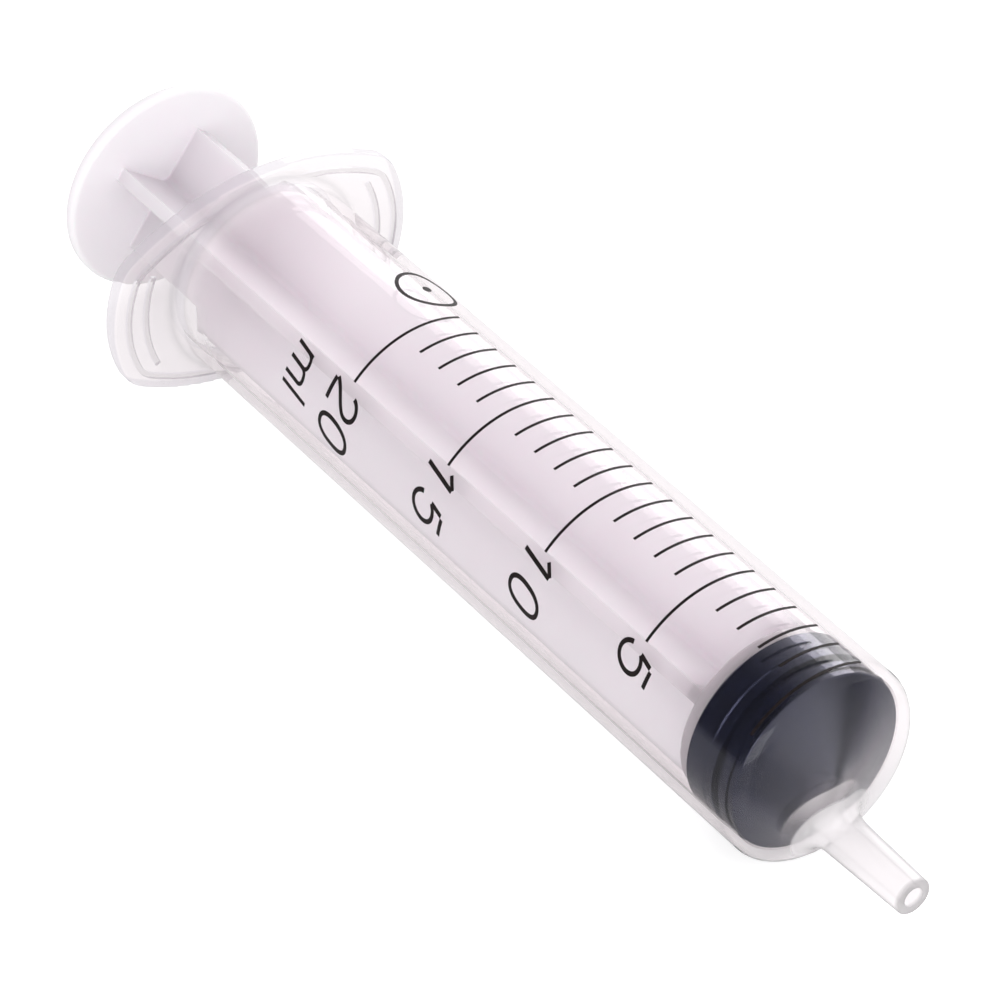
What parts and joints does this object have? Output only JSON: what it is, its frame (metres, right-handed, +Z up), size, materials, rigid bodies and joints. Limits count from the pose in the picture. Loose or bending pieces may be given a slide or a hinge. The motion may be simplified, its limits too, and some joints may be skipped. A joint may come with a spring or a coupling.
{
  "type": "eccentric slip tip syringe",
  "caption": "Syringe with a clear graduated barrel, oval finger flange and off-centre slip tip, a cross-finned plunger rod with a thumb disc, and a dark rubber piston.",
  "frame": {"origin": "on the table under the middle of the syringe, as it lies on its finger flange with the plunger fully in", "axes": "+X along the barrel towards the tip, +Z up, the flange's long axis along Y and the off-centre tip below the barrel's axis"},
  "size_m": [0.1264, 0.0368, 0.025],
  "materials": {
    "clear_barrel": "clear polypropylene, polished mould finish",
    "piston_rubber": "dark synthetic rubber, silicone-wetted satin",
    "rod_plastic": "translucent off-white polypropylene, satin",
    "scale_ink": "printed black ink"
  },
  "bodies": {
    "barrel": {"barrel": "clear_barrel", "scale_lines": "scale_ink"},
    "piston": {"piston": "piston_rubber"},
    "plunger": {"plunger_rod": "rod_plastic"}
  },
  "joints": [
    {"name": "piston_slide", "type": "slide", "parent": "barrel", "child": "piston", "axis": [-1, 0, 0], "range_m": [0, 0.08]},
    {"name": "plunger_spin", "type": "hinge", "parent": "piston", "child": "plunger", "pos_m": [0, 0, 0.0125], "axis": [1, 0, 0], "continuous": true}
  ]
}
